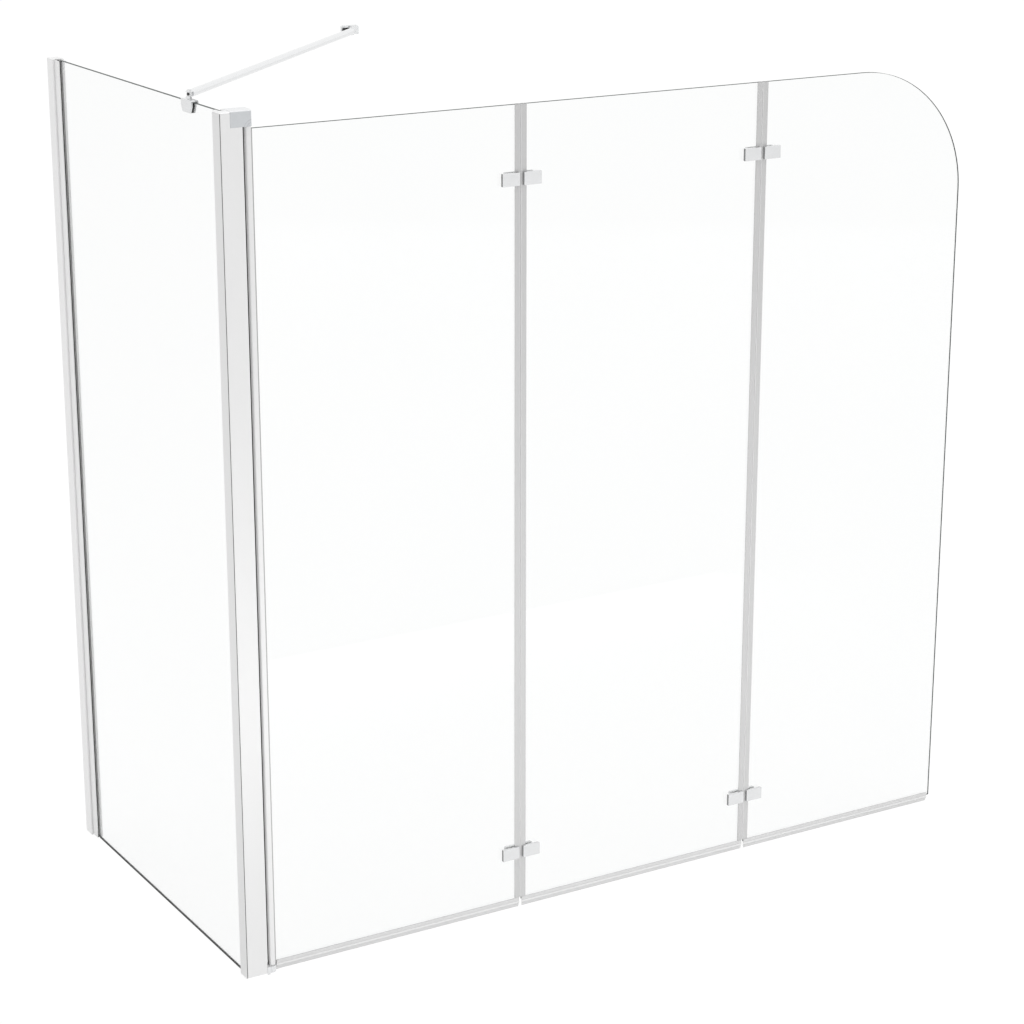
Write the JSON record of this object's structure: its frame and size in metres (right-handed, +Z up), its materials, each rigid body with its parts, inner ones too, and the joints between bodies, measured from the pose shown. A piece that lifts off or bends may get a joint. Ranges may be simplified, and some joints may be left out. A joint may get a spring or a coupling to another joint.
{
  "type": "bath enclosure",
  "caption": "Bath enclosure with a fixed side glass, a corner post, a folding front of hinged glass panels and a stabiliser bar",
  "frame": {"origin": "centre of the corner post's foot, on the bath rim", "axes": "+X along the front towards the free edge, +Y into the bath towards the wall, +Z up"},
  "size_m": [1.406, 0.6855, 1.418],
  "materials": {
    "aluminium": "bright satin anodised",
    "white_plastic": "moulded",
    "seal": "clear grey, smooth",
    "block": "bluish grey, moulded",
    "steel": "plain stainless",
    "glass": "clear, polished edges",
    "dark": "black",
    "chrome": "polished"
  },
  "bodies": {
    "frame": {"corner_post": "aluminium", "wall_profile": "aluminium", "adjusting_profile": "aluminium", "post_top_cap": "white_plastic", "post_foot_cap": "white_plastic", "wall_profile_caps": "white_plastic", "post_seal_strip": "seal", "post_glass_liner": "seal", "wall_glass_liner": "seal", "upper_pivot_block": "block", "lower_pivot_block": "block", "pivot_block_screws": "steel", "pivot_pins": "steel", "adjusting_screws": "steel", "bar_clamp_grub_screw": "steel", "side_glass": "glass", "wall_outer_gasket": "dark", "side_foot_strip": "dark", "bar_swivel_bushes": "dark", "bar_clamp_pads": "dark", "bar_wall_screw": "dark", "stabiliser_bar": "chrome", "bar_end_forks": "chrome", "bar_swivel_screws": "chrome", "bar_glass_clamp": "chrome", "bar_wall_bracket": "chrome"},
    "panel_1": {"pivot_profile": "aluminium", "pivot_profile_gasket": "seal", "bottom_seal_1": "seal", "upright_seal_1_right": "seal", "hinge_pads_1_right": "seal", "glass_1": "glass", "hinge_plates_1_right": "chrome", "hinge_leaves_1_right": "chrome", "hinge_screws_1_right": "steel", "hinge_pins_1": "steel"},
    "panel_2": {"bottom_seal_2": "seal", "upright_seal_2_left": "seal", "upright_seal_2_right": "seal", "hinge_pads_2_left": "seal", "hinge_pads_2_right": "seal", "glass_2": "glass", "hinge_plates_2_left": "chrome", "hinge_plates_2_right": "chrome", "hinge_leaves_2_left": "chrome", "hinge_leaves_2_right": "chrome", "hinge_screws_2_left": "steel", "hinge_screws_2_right": "steel", "hinge_pins_2": "steel"},
    "panel_3": {"bottom_seal_3": "seal", "upright_seal_3_left": "seal", "hinge_pads_3_left": "seal", "glass_3": "glass", "hinge_plates_3_left": "chrome", "hinge_leaves_3_left": "chrome", "hinge_screws_3_left": "steel"}
  },
  "joints": [
    {"name": "door_pivot", "type": "hinge", "parent": "frame", "child": "panel_1", "pos_m": [0.0295, 0, 0.7], "axis": [0, 0, 1], "range_deg": [-90, 15]},
    {"name": "fold_1", "type": "hinge", "parent": "panel_1", "child": "panel_2", "pos_m": [0.499, 0.009, 0.7], "axis": [0, 0, 1], "range_deg": [0, 100]},
    {"name": "fold_2", "type": "hinge", "parent": "panel_2", "child": "panel_3", "pos_m": [0.962, 0.009, 0.7], "axis": [0, 0, 1], "range_deg": [0, 175]}
  ]
}
